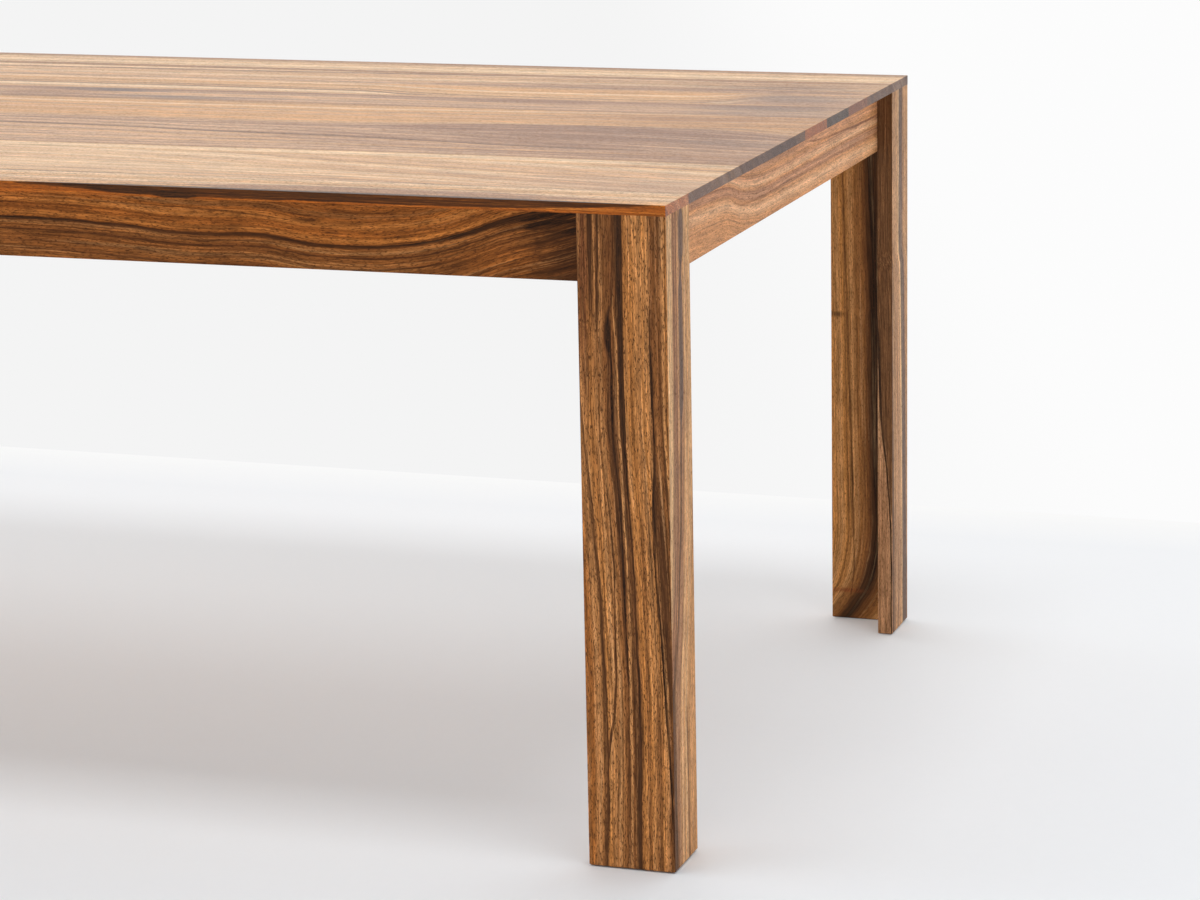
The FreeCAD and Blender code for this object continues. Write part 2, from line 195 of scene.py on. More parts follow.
front_leg_return = Figure(
    ground=(
        (-20, "tan"), (0, "tan"), (4, "cream"), (15, "cream"), (21, "dove"), (25, "smoke"), (28, "dove"),
        (32, "smoke"), (35, "dove"), (37, "tan"), (40, "dove"), (54, "dove"), (58, "tan"), (62, "cream"),
        (66, "blush"), (70, "tan"), (76, "cream"), (83, "tan"), (104, "tan"),
    ),
    flow=(
        (0, -30), (120, -30), (220, -26), (260, -20), (300, -14), (350, -8), (400, -4), (460, -2),
        (540, 0), (738, 0),
    ),
    streaks=(
        Streak("umber", (
            (0, 7), (90, 5), (190, 4), (225, 9), (258, 18), (290, 25), (340, 31), (390, 38), (440, 41),
            (540, 45), (640, 47), (738, 50),
        ), (
            (0, 7.5), (80, 5), (190, 5), (240, 2.8), (300, 2.4), (350, 2.6), (400, 1.4), (500, 0.8),
            (560, -1), (738, -2),
        ), (2.4, 2), 0.85),
        Streak("slate", (
            (0, 46), (440, 42), (530, 46), (600, 48), (640, 47), (680, 50), (738, 52),
        ), (
            (0, -4), (400, -3), (500, 1), (540, 6), (650, 6), (674, 1.5), (690, 7), (715, 7), (738, 3),
        ), (2, 2), 0.95),
        Streak("brown", ((0, 53), (140, 51), (220, 50), (738, 46)),
               ((0, 2.2), (160, 1.2), (240, -3), (738, -3)), (2.4, 2.4), 0.7),
        Streak("brown", ((0, 14), (60, 15), (140, 20), (220, 25), (738, 40)),
               ((0, 1.5), (140, 1.2), (200, -2), (738, -2)), (2.2, 2.2), 0.7),
    ),
    patches=(Patch("slate", (20, 5), (60, 9), 0.7), Patch("smoke", (390, 13), (26, 6), 0.6)),
    waver=1.2,
    tint=(0.85, 0.875, 0.98),
    grain=0.9,
)

rear_leg_wide = Figure(
    ground=(
        (-150, "amber"), (-101, "amber"), (-90, "tan"), (-84, "amber"), (-81, "walnut"), (-79, "amber"),
        (-72, "tan"), (-64, "walnut"), (-58, "walnut"), (-52, "brown"), (-47, "umber"), (-44, "ink"),
        (-37, "ink"), (-33, "umber"), (-24, "brown"), (-8, "walnut"), (0, "tan"), (40, "brown"),
    ),
    flow=(
        (0, -45), (13, -34), (28, -24), (48, -12), (68, -5), (88, -1), (108, 2), (138, 4), (188, 3),
        (288, 1), (438, -1), (538, -3), (638, -5), (738, -7),
    ),
    streaks=(
        Streak("umber", ((0, -101), (50, -72), (90, -70), (200, -72), (338, -76), (538, -82), (738, -86)),
               ((0, -1), (120, 0.6), (338, 0.8), (538, 0.6), (738, 0.2)), (1.8, 1.8), 0.6),
    ),
    patches=(Patch("umber", (427, -94), (5, 18), 0.75), Patch("rust", (41, -84), (4, 34), 0.8)),
    waver=0.8,
    tint=(0.785, 0.83, 0.93),
    # Painted shade: the far cast darkens the outer face, which the strong light from behind falls on
    far=(0.57, 0.54, 0.57),
    grain=0.9,
)

rear_leg_return = Figure(
    ground=(
        (-40, "dove"), (-6, "dove"), (-2, "walnut"), (0, "blush"), (12, "dove"), (26, "blush"),
        (32, "cream"), (36, "slate"), (50, "slate"), (56, "dove"), (64, "blush"), (83, "blush"),
    ),
    flow=((0, 24), (150, 22), (240, 20), (420, 14), (500, 10), (540, 0), (738, 0)),
    streaks=(
        Streak("umber", (
            (0, 8), (140, 6), (198, 3), (238, 1), (268, -2), (308, -5), (388, -8), (438, -9), (738, -10),
        ), (
            (0, 4), (100, 5), (198, 6), (238, 7), (308, 9), (438, 10), (738, 11),
        ), (1.2, 1.2), 0.8),
        Streak("ink", (
            (0, -1), (138, -2), (198, -5), (238, -8), (268, -12), (308, -15), (388, -18), (438, -21),
            (738, -30),
        ), (
            (0, 0.5), (268, 0.9), (388, 1.2), (738, 0.5),
        ), (0.9, 0.9)),
    ),
    patches=(Patch("slate", (60, 74), (120, 8), 0.7),),
    waver=0.6,
    tint=(0.92, 1, 1.17),
)

front_apron_figure = Figure(
    ground=(
        (-60, "russet"), (-40, "russet"), (-31, "walnut"), (-28, "russet"), (-20, "amber"),
        (-16, "russet"), (-10, "russet"), (-5, "amber"), (-0.8, "russet"), (-0.3, "umber"), (0.2, "ink"),
        (1, "ink"), (1.8, "umber"), (3.4, "brown"), (6, "walnut"), (8.5, "walnut"), (9.2, "umber"),
        (10.2, "walnut"), (13, "brown"), (14.5, "umber"), (15.5, "walnut"), (19, "walnut"),
        (20, "brown"), (22, "walnut"), (26, "brown"), (30, "walnut"), (36, "brown"), (44, "walnut"),
        (56, "brown"), (90, "umber"),
    ),
    flow=(
        (-1000, 34), (-860, 24), (-700, 38), (-560, 46), (-400, 40), (-220, 33), (-60, 42), (80, 45),
        (200, 37), (300, 31.5), (360, 32), (450, 36), (550, 41.5), (600, 40), (650, 44), (690, 48.5),
        (730, 49.5), (790, 46), (820, 41.5), (850, 34), (880, 24), (910, 13), (935, 6), (960, 0),
        (1000, -12),
    ),
    streaks=(
        Streak("umber", ((300, 8), (450, 12), (560, 16), (700, 24), (1000, 27)),
               ((-1000, -2), (340, -2), (440, 0.1), (620, 0.1), (700, -2), (1000, -2)), (1.6, 1.2), 0.55),
        Streak("ink", ((800, 47), (850, 36.5), (880, 27), (910, 16.5), (935, 9.5), (960, 4), (1000, -6)),
               ((-1000, -3), (810, -3), (850, 0.4), (900, 1.8), (950, 2.6), (1000, 3)), (1.4, 3), 0.85),
        Streak("ink", ((900, 22), (935, 13), (960, 9), (985, 5), (1000, 3)),
               ((-1000, -3), (912, -3), (935, 1), (1000, 1.2)), (1.4, 2), 0.9),
        Streak("ink", ((900, 30), (930, 23), (950, 17), (975, 14), (1000, 12)),
               ((-1000, -3), (915, -3), (938, 1.2), (970, 1.8), (1000, 1.6)), (1.2, 2), 0.9),
        Streak("ink", ((900, 38), (935, 29), (960, 25), (980, 24), (1000, 20)),
               ((-1000, -3), (930, -3), (955, 0.6), (1000, 1.8)), (1.2, 2.4), 0.85),
        Streak("umber", ((900, 80), (960, 74), (978, 66), (1000, 52)),
               ((-1000, -3), (940, -3), (965, 0.8), (1000, 1.8)), (1.6, 1.6), 0.8),
        Streak("umber", ((900, 88), (965, 80), (982, 72), (1000, 62)),
               ((-1000, -3), (950, -3), (970, 0.6), (1000, 1.2)), (1.4, 1.4), 0.7),
    ),
    patches=(
        Patch("ink", (1000, 20), (84, 40), 1),
        Patch("umber", (1000, 60), (70, 60), 1),
        Patch("umber", (948, 42), (8, 18), 0.7),
        Patch("ink", (942, 20), (14, 9), 0.9),
        Patch("umber", (676, 23), (20, 2.2), 0.8),
        Patch("umber", (728, 25), (36, 2), 0.7),
        Patch("umber", (710, 11), (6, 2.2), 0.6),
        Patch("umber", (706, 36), (10, 2), 0.6),
        Patch("russet", (905, 60), (60, 22), 0.6),
    ),
    waver=0.8,
    tint=(0.635, 0.535, 0.45),
    grain=1.15,
)

end_apron_figure = Figure(
    ground=(
        (-30, "tan"), (6, "tan"), (14, "blush"), (22, "tan"), (27, "blush"), (34, "cream"), (38, "tan"),
        (42, "dove"), (45, "blush"), (49, "dove"), (53, "tan"), (62, "cream"), (74, "tan"), (110, "tan"),
    ),
    flow=(
        (-442, -34), (-320, -30), (-250, -26), (-215, -20), (-180, -11), (-140, -5), (-90, -1), (0, 0),
        (200, 1), (442, 3),
    ),
    streaks=(
        Streak("walnut", (
            (-240, 18), (-212, 36), (-190, 43), (-160, 47), (-60, 49), (200, 49), (442, 52),
        ), (
            (-442, -3), (-240, -3), (-200, 0.4), (0, -0.4), (442, 0.2),
        ), (2, 2), 0.6),
        Streak("smoke", ((60, 8), (120, 16), (180, 21), (300, 26), (442, 30)),
               ((-442, -3), (60, -3), (140, 0.4), (380, 0.8), (442, 1.6)), (2.2, 2.2), 0.6),
    ),
    waver=1.5,
    tint=(0.915, 0.895, 1.10),
    grain=0.65,
)

hidden_apron_figure = Figure(
    ground=(
        (-60, "amber"), (-34, "tan"), (-22, "russet"), (-12, "amber"), (-4, "walnut"), (0, "umber"),
        (4, "brown"), (16, "walnut"), (24, "brown"), (36, "tan"), (60, "walnut"), (90, "brown"),
    ),
    flow=(
        (-1000, 30), (-760, 42), (-520, 36), (-300, 28), (-80, 40), (160, 48), (380, 36), (620, 30),
        (820, 44), (1000, 38),
    ),
    waver=4,
    # Partly the front apron's tone and partly painted shade: darker for the rear and left aprons, which
    # face the strongest light
    tint=(0.50, 0.45, 0.43),
    grain=0.95,
)

frame_figure = Figure(
    ground=(
        (-60, "brown"), (-20, "walnut"), (-8, "russet"), (4, "walnut"), (14, "brown"), (28, "walnut"),
        (46, "tan"), (64, "walnut"), (110, "brown"),
    ),
    waver=9,
    tint=(0.66, 0.60, 0.55),
)

stave_figures = (
    Figure(
        ground=(
            (-30, "copper"), (-2, "copper"), (1, "amber"), (20, "tan"), (30, "blush"), (38, "cream"),
            (44, "tan"), (54, "tan"), (70, "cream"), (78, "dove"), (81, "tan"), (110, "tan"),
        ),
        flow=((-1100, 0), (300, 0), (600, 3), (800, 4), (1000, 2), (1100, 0)),
        streaks=(
            Streak("smoke", (
                (-1100, 20), (1100, 20),
            ), (
                (-1100, -24), (300, -20), (350, -14), (500, -4), (600, 11), (720, 19), (860, 19),
                (960, 11), (1040, -4), (1100, -22),
            ), (3, 3), 0.65),
            Streak("umber", (
                (-1100, -1), (1100, -1),
            ), (
                (-1100, -3), (290, -3), (330, 0.6), (400, 4), (450, 6.6), (520, 8.6), (860, 8.6),
                (950, 6.8), (1000, 4.8), (1050, 2), (1085, 0.2), (1100, -2),
            ), (1, 1)),
            Streak("ink", (
                (-1100, -1), (1100, -1),
            ), (
                (-1100, -3), (300, -3), (360, 0.6), (430, 5), (500, 8), (860, 8), (950, 6), (1050, 1),
                (1100, -2),
            ), (2, 2), 0.5),
            Streak("ink", (
                (-1100, -1), (380, -1), (440, -3), (500, -6), (560, -9), (1100, -9),
            ), (
                (-1100, -4), (340, -4), (390, 1), (440, 3.2), (500, 3.4), (550, 1.4), (600, -4),
                (1100, -4),
            ), (1.6, 1.6)),
        ),
        waver=0.8,
        grain=1.6,
    ),
    stave_figure(
        ground=(
            (-30, "cream"), (4, "tan"), (10, "blush"), (18, "dove"), (21, "tan"), (34, "blush"),
            (40, "cream"), (48, "tan"), (51, "blush"), (62, "cream"), (70, "tan"), (76, "dove"),
            (79, "tan"), (92, "blush"), (100, "cream"), (108, "tan"), (111, "blush"), (124, "cream"),
            (140, "tan"),
        ),
        flow=((-1100, 12), (300, 6), (500, 0), (700, -8), (850, -24), (1000, -44), (1100, -56)),
        patches=(
            Patch("dove", (1120, 40), (330, 130), 0.75),
            Patch("cream", (360, 40), (300, 110), 0.45),
        ),
    ),
    stave_figure(
        ground=(
            (-30, "tan"), (-8, "blush"), (6, "tan"), (12, "dove"), (15, "cream"), (30, "tan"),
            (42, "blush"), (50, "tan"), (53, "blush"), (64, "cream"), (76, "tan"), (84, "dove"),
            (88, "tan"), (100, "blush"), (116, "tan"), (120, "blush"), (136, "cream"), (150, "tan"),
            (158, "dove"), (162, "tan"), (190, "tan"),
        ),
        flow=((-1100, 24), (200, 18), (350, 10), (500, -10), (600, -26), (800, -56), (1100, -92)),
        patches=(Patch("cream", (450, 66), (170, 11), 0.8), Patch("cream", (330, 40), (300, 110), 0.35)),
    ),
    stave_figure(
        ground=(
            (-40, "cream"), (4, "tan"), (12, "cream"), (27, "cream"), (32, "tan"), (36, "walnut"),
            (39, "dove"), (50, "blush"), (58, "dove"), (66, "blush"), (74, "dove"), (80, "tan"),
            (90, "blush"), (100, "dove"), (108, "blush"), (140, "dove"),
        ),
        flow=((-1100, -6), (300, -2), (700, 4), (1100, -6)),
        streaks=(
            Streak("brown", ((700, 128), (870, 108), (950, 102), (1000, 92), (1100, 58)),
                   0.4, (1.6, 1), 0.75),
        ),
        patches=(Patch("smoke", (940, 84), (420, 52), 0.55), Patch("smoke", (1100, 40), (170, 90), 0.3)),
    ),
    stave_figure(
        ground=(
            (-40, "blush"), (-26, "dove"), (-14, "blush"), (-4, "tan"), (8, "dove"), (20, "blush"),
            (30, "tan"), (33, "dove"), (36, "umber"), (39, "brown"), (44, "dove"), (52, "blush"),
            (62, "dove"), (74, "blush"), (84, "dove"), (96, "blush"), (108, "dove"), (124, "blush"),
            (140, "dove"), (156, "blush"), (176, "dove"),
        ),
        flow=(
            (-1100, 34), (100, 30), (250, 25), (370, 12), (500, 6), (600, -3), (700, -15), (800, -28),
            (950, -38), (1100, -56),
        ),
        patches=(
            Patch("smoke", (900, 62), (480, 110), 0.7),
            Patch("smoke", (900, 104), (420, 44), 0.5),
            Patch("slate", (1060, 80), (110, 44), 0.4),
        ),
        waver=1.6,
    ),
    stave_figure(
        ground=(
            (-40, "dove"), (4, "dove"), (14, "blush"), (24, "dove"), (31, "tan"), (34, "dove"),
            (38, "tan"), (52, "amber"), (64, "tan"), (74, "amber"), (90, "tan"), (130, "amber"),
        ),
        flow=((-1100, 0), (300, 0), (600, 14), (800, 34), (950, 30), (1100, 2)),
        streaks=(
            Streak("smoke", ((-1100, 10), (300, 6), (600, 22), (850, 38), (1000, 34), (1100, 20)),
                   ((-1100, -10), (450, -6), (640, 12), (800, 26), (950, 26), (1100, 14)), (14, 10), 0.8),
        ),
        patches=(
            Patch("slate", (940, 44), (170, 26), 0.75),
            Patch("smoke", (380, 8), (420, 20), 0.5),
            Patch("slate", (1080, 60), (300, 110), 0.42),
        ),
    ),
    stave_figure(
        ground=(
            (-50, "tan"), (-30, "amber"), (-12, "tan"), (2, "amber"), (12, "blush"), (22, "amber"),
            (34, "tan"), (40, "dove"), (43, "tan"), (56, "amber"), (66, "cream"), (76, "amber"),
            (88, "tan"), (96, "walnut"), (99, "tan"), (130, "amber"),
        ),
        flow=((-1100, 2), (400, 0), (600, 8), (800, 22), (1000, 36), (1100, 40)),
        patches=(
            Patch("russet", (960, 62), (220, 20), 0.4),
            Patch("smoke", (1120, 45), (470, 150), 0.45),
        ),
    ),
    stave_figure(
        ground=(
            (-40, "dove"), (2, "walnut"), (6, "dove"), (14, "blush"), (24, "dove"), (36, "blush"),
            (46, "tan"), (54, "blush"), (62, "dove"), (74, "dove"), (80, "smoke"), (84, "dove"),
            (94, "tan"), (140, "dove"),
        ),
        flow=((-1100, -4), (0, 0), (400, 6), (700, 2), (1100, 8)),
        patches=(
            Patch("slate", (98, 73), (92, 18), 1),
            Patch("slate", (260, 22), (170, 17), 0.8),
            Patch("smoke", (20, 20), (120, 70), 0.65),
            Patch("dove", (800, 40), (330, 100), 0.65),
            Patch("smoke", (690, 72), (130, 20), 0.6),
            Patch("slate", (1020, 46), (110, 60), 0.7),
            Patch("smoke", (860, 88), (260, 14), 0.5),
            Patch("slate", (-420, 60), (160, 16), 0.7),
        ),
        waver=2.4,
    ),
    stave_figure(
        ground=(
            (-50, "dove"), (-2, "dove"), (2, "cream"), (18, "cream"), (23, "brown"), (27, "dove"),
            (36, "tan"), (40, "brown"), (44, "tan"), (58, "tan"), (68, "amber"), (82, "cream"),
            (92, "amber"), (130, "tan"),
        ),
        flow=(
            (-1100, 4), (-300, 2), (400, 0), (500, -18), (700, -34), (850, -30), (930, -5), (960, 22),
            (1000, 40), (1100, 50),
        ),
        patches=(Patch("dove", (1050, 46), (170, 120), 1), Patch("slate", (1020, 56), (90, 44), 0.6)),
        waver=1.4,
    ),
    stave_figure(
        ground=(
            (-40, "blush"), (-4, "tan"), (4, "blush"), (12, "dove"), (22, "blush"), (30, "tan"),
            (40, "blush"), (52, "cream"), (64, "tan"), (74, "blush"), (84, "tan"), (92, "blush"),
            (98, "cream"), (140, "tan"),
        ),
        flow=((-1100, -14), (0, -4), (500, 0), (1100, 6)),
        streaks=(
            Streak("smoke", ((-1100, 62), (-200, 80), (200, 92), (600, 104), (1100, 112)),
                   3, (5, 5), 0.8),
            Streak("smoke", (
                (-1100, 20), (450, 22), (900, 24), (1100, 30),
            ), (
                (-1100, -12), (400, -12), (520, 4), (700, 12), (860, 8), (960, -8), (1100, -12),
            ), (12, 12), 0.4),
        ),
        patches=(
            Patch("slate", (980, 48), (120, 38), 0.6),
            Patch("smoke", (1030, 62), (180, 80), 0.5),
            Patch("smoke", (800, 60), (270, 90), 0.35),
        ),
    ),
    stave_figure(
        ground=(
            (-40, "walnut"), (2, "walnut"), (7, "walnut"), (12, "dove"), (16, "cream"), (24, "tan"),
            (30, "cream"), (46, "cream"), (54, "tan"), (62, "cream"), (72, "tan"), (80, "dove"),
            (92, "walnut"), (106, "brown"), (140, "brown"),
        ),
        flow=((-1100, 6), (0, 8), (300, 5), (600, 3), (1100, 6)),
        waver=1.2,
    ),
)

# End grain of the staves, from the front: r reddish, g grey, b blue-grey, d dark red
stave_ends = "rgggggrbdgg"
end_casts = {
    "r": (0.70, 0.41, 0.29),
    "g": (0.29, 0.255, 0.30),
    "b": (0.20, 0.215, 0.28),
    "d": (0.52, 0.33, 0.27),
}

leg_figures = {"front": (front_leg_wide, front_leg_return), "rear": (rear_leg_wide, rear_leg_return)}

# A dark streak fades through the next paler tone
halo_tones = {"ink": "umber", "umber": "brown", "brown": "walnut", "smoke": "dove"}

# Each group of boards takes its noise from a stretch of its own
seeds = {"stave": 10.0, "apron": 30.0, "leg_wide": 50.0, "leg_return": 60.0, "rail": 70.0, "block": 80.0}

# Turns of the noise in a millimetre along the grain, across it and into the wood
broad_turns = (0.004, 0.012, 0.012)
ripple_turns = (0.03, 0.22, 0.22)
ring_turns = (0.0025, 0.32, 0.32)
mottle_turns = (0.03, 0.05, 0.05)
thread_turns = (0.007, 0.45, 0.45)
fibre_turns = (0.035, 0.45, 0.45)
pore_turns = (0.20, 1.0, 1.0)

# Darker marks in the beech
beech_cloud = (0.36, 0.22, 0.12, 1.0)
beech_fleck = (0.28, 0.15, 0.08, 1.0)

# Studio, in metres
white = (1.0, 1.0, 1.0, 1.0)
floor_half_width = 16.0
# Painted light: the floor whitens a little under the back of the table and behind it, in the table's shadow
painted_light_start, painted_light_end, painted_light_most = 0.02, 0.42, 0.19
brink_start = 0.93
surround_start, surround_end = 2.0, 3.4
# Painted light: the glowing backdrop is darker to the left and brighter to the right
wall_turn_start, wall_turn_end, wall_slant = 0.8, 1.8, 0.35
sensor_width_mm = 36.0
overhead_lamp = Lamp("overhead_lamp", (1.4, -1.15, 6.0), (1.4, -0.8, 0.0), 4.0, 1.5)
front_lamp = Lamp("front_lamp", (1.0, -6.0, 0.55), (0.7, -0.5, 0.45), 3.0, 0.8)


# What a user may change

def tone(label, description, colour):
    """A colour that shows as a swatch in the sidebar."""
    return FloatVectorProperty(
        name=label, description=description, subtype="COLOR", size=3, min=0.0, max=1.0, default=colour
    )


def amount(label, description, value, **limits):
    """A number, such as a distance, an angle or a power."""
    return FloatProperty(name=label, description=description, default=value, **limits)


def share(label, description, value):
    """A number from nought to one."""
    return amount(label, description, value, subtype="FACTOR", min=0.0, max=1.0)


class WalnutTones(bpy.types.PropertyGroup):
    """Colours of the walnut, from its palest sapwood to its black streaks, and its oiled surface."""

    cream: tone("Cream", "Palest wood, at the edge of the sapwood", (0.860, 0.490, 0.208))
    tan: tone("Tan", "Light heartwood", (0.690, 0.319, 0.101))
    amber: tone("Amber", "Warm light heartwood", (0.690, 0.281, 0.068))
    blush: tone("Blush", "Pale wood with a pink cast", (0.690, 0.341, 0.137))
    dove: tone("Dove", "Grey-brown bands", (0.462, 0.214, 0.088))
    slate: tone("Slate", "Blue-grey patches", (0.165, 0.094, 0.060))
    smoke: tone("Smoke", "Dark grey-brown clouds", (0.235, 0.080, 0.026))
    copper: tone("Copper", "Glowing orange-brown", (0.365, 0.124, 0.027))
    russet: tone("Russet", "Orange-brown wood", (0.455, 0.160, 0.032))
    rust: tone("Rust", "Reddish mark round a knot", (0.304, 0.077, 0.022))
    walnut: tone("Walnut", "Middle brown", (0.400, 0.160, 0.043))
    brown: tone("Brown", "Dark brown", (0.235, 0.088, 0.024))
    umber: tone("Umber", "Darkest brown", (0.091, 0.037, 0.013))
    ink: tone("Ink", "Black streaks", (0.022, 0.011, 0.006))
    roughness: share("Roughness", "How matt the oiled legs and aprons are", 0.45)
    specular: share("Specular", "How strongly the oiled legs and aprons reflect", 0.08)
    top_roughness: share("Top Roughness", "How matt the top is", 0.34)
    top_specular: share("Top Specular", "How strongly the top reflects", 0.155)
    pores: share("Pores", "How dark the open pores are", 0.68)
    fibre: share("Fibre", "How strongly threads and fibres vary in tone", 0.85)


class FittingTones(bpy.types.PropertyGroup):
    """Colours of what holds the table together."""

    beech: tone("Beech", "Dowels and loose tongues", (0.60, 0.42, 0.26))
    zinc: tone("Zinc", "Plated bolts, washers, clips and screws", (0.62, 0.63, 0.64))
    brass: tone("Brass", "Threaded inserts", (0.72, 0.52, 0.24))
    glide: tone("Glide", "Plastic under the feet", (0.035, 0.033, 0.031))


class Studio(bpy.types.PropertyGroup):
    """Floor, backdrop, light and camera."""

    floor: tone("Floor", "Pale floor", (0.83, 0.852, 0.878))
    floor_far: tone("Far Floor", "Floor where it meets the wall", (0.955, 0.953, 0.948))
    wall_left: tone("Wall Left", "Backdrop towards the left", (0.905, 0.905, 0.905))
    wall_right: tone("Wall Right", "Backdrop towards the right", (0.975, 0.975, 0.975))
    wall_line: amount(
        "Wall Line", "How far behind the table's middle the backdrop begins", 1.14,
        subtype="DISTANCE", unit="LENGTH",
    )
    sky: amount("Sky", "Light from all round, at the horizon", 2.25, min=0.0)
    sky_lean: FloatVectorProperty(
        name="Sky Lean", description="Side from which more of the sky's light comes",
        size=3, default=(-0.40, 0.90, 0.0),
    )
    sky_droop: share("Sky Droop", "How much darker the sky is overhead", 0.97)
    overhead: amount("Overhead", "Lamp above the front of the table", 122.0, subtype="POWER", min=0.0)
    fill: amount("Fill", "Low lamp in front of the table", 102.0, subtype="POWER", min=0.0)
    camera_place: FloatVectorProperty(
        name="Camera", description="Where the camera stands", subtype="TRANSLATION", unit="LENGTH",
        size=3, default=(2.26945, -4.13135, 1.39377),
    )
    camera_heading: amount(
        "Heading", "Turn to the left, from the view along the table's width", 0.333186, subtype="ANGLE"
    )
    camera_dip: amount("Dip", "Tilt below the horizon", 0.235275, subtype="ANGLE")
    camera_roll: amount("Roll", "Turn about the view", -0.019777, subtype="ANGLE")
    lens: amount("Lens", "Focal length", 108.5946, subtype="DISTANCE_CAMERA", min=1.0)


class TableSettings(bpy.types.PropertyGroup):
    """All that the panel shows."""

    walnut: PointerProperty(type=WalnutTones)
    fittings: PointerProperty(type=FittingTones)
    studio: PointerProperty(type=Studio)


# Node trees

class Tree:
    """A node tree, with short ways to add nodes and join them."""

    def __init__(self, tree):
        self.tree = tree
        tree.nodes.clear()

    def add(self, kind, **settings):
        """A new node with these settings."""
        made = self.tree.nodes.new(kind)
        for name, value in settings.items():
            setattr(made, name, value)
        return made

    def put(self, socket, value):
        """Joins a socket to another one, or gives it a plain value."""
        if isinstance(value, bpy.types.NodeSocket):
            self.tree.links.new(value, socket)
        else:
            socket.default_value = value

    def fill(self, sockets, values):
        """Puts a value into each of several sockets."""
        for socket, value in zip(sockets, values):
            self.put(socket, value)

    def math(self, operation, *values):
        made = self.add("ShaderNodeMath", operation=operation)
        self.fill(made.inputs, values)
        return made.outputs[0]

    def range(self, value, from_low, from_high, to_low=0.0, to_high=1.0, kind="SMOOTHSTEP"):
        """Carries a value from one range into another."""
        made = self.add("ShaderNodeMapRange", interpolation_type=kind)
        names = ("Value", "From Min", "From Max", "To Min", "To Max")
        self.fill([made.inputs[name] for name in names], (value, from_low, from_high, to_low, to_high))
        return made.outputs[0]

    def vector(self, x, y, z):
        made = self.add("ShaderNodeCombineXYZ")
        self.fill(made.inputs, (x, y, z))
        return made.outputs[0]

    def split(self, vector):
        """The X, Y and Z of a vector."""
        made = self.add("ShaderNodeSeparateXYZ")
        self.put(made.inputs[0], vector)
        return made.outputs

    def length(self, vector):
        made = self.add("ShaderNodeVectorMath", operation="LENGTH")
        self.put(made.inputs[0], vector)
        return made.outputs["Value"]

    def object_place(self):
        """The place of a point on its object."""
        return self.add("ShaderNodeTexCoord").outputs["Object"]

    def mapped(self, vector, scale, shift):
        """A vector stretched, then shifted."""
        made = self.add("ShaderNodeMapping")
        self.put(made.inputs["Vector"], vector)
        made.inputs["Scale"].default_value = scale
        made.inputs["Location"].default_value = shift
        return made.outputs[0]

    def noise(self, vector, scale, detail, roughness=0.5, shift=(0.0, 0.0, 0.0)):
        """Noise in a stretched and shifted space."""
        made = self.add("ShaderNodeTexNoise")
        self.put(made.inputs["Vector"], self.mapped(vector, scale, shift))
        made.inputs["Scale"].default_value = 1.0
        made.inputs["Detail"].default_value = detail
        made.inputs["Roughness"].default_value = roughness
        return made.outputs[0]

    def even_noise(self, turns, detail, roughness=0.5):
        """Noise that is alike in all directions on an object, with its turns in a metre."""
        return self.noise(self.object_place(), (turns, turns, turns), detail, roughness)

    def mix(self, factor, under, over, blend="MIX"):
        """One colour laid over another."""
        made = self.add("ShaderNodeMix", data_type="RGBA", blend_type=blend)
        self.put(made.inputs[0], factor)
        self.put(made.inputs[6], under)
        self.put(made.inputs[7], over)
        return made.outputs[2]

    def curve(self, along, points):
        """A value that follows given points (place along, value), smoothly between them."""
        low_x, high_x = points[0][0], points[-1][0]
        values = [value for _, value in points]
        low, high = min(values), max(values)
        span = max(high - low, 1e-3)
        made = self.add("ShaderNodeFloatCurve")
        line = made.mapping.curves[0]
        while len(line.points) > 2:
            line.points.remove(line.points[0])
        for i, (x, value) in enumerate(points):
            spot = ((x - low_x) / (high_x - low_x), (value - low) / span)
            if i in (0, len(points) - 1):
                line.points[0 if i == 0 else len(line.points) - 1].location = spot
            else:
                line.points.new(*spot)
        for point in line.points:
            point.handle_type = "AUTO_CLAMPED"
        made.mapping.update()
        self.put(made.inputs["Value"], self.range(along, low_x, high_x, kind="LINEAR"))
        return self.math("MULTIPLY_ADD", made.outputs[0], span, low)

    def bump(self, shader, height, strength, distance):
        """Roughens a shader's surface."""
        made = self.add("ShaderNodeBump")
        made.inputs["Strength"].default_value = strength
        made.inputs["Distance"].default_value = distance
        self.put(made.inputs["Height"], height)
        self.put(shader.inputs["Normal"], made.outputs[0])


def rgba(colour):
    return (*colour, 1.0)


def wood(tones, name):
    """One of the walnut's tones, by name."""
    return rgba(getattr(tones, name))


def new_material(name):
    """A material with an empty tree, and its surface shader joined to its output."""
    material = bpy.data.materials.new(name)
    material.use_nodes = True
    tree = Tree(material.node_tree)
    output = tree.add("ShaderNodeOutputMaterial")
    shader = tree.add("ShaderNodeBsdfPrincipled")
    tree.put(output.inputs["Surface"], shader.outputs[0])
    return material, tree, shader


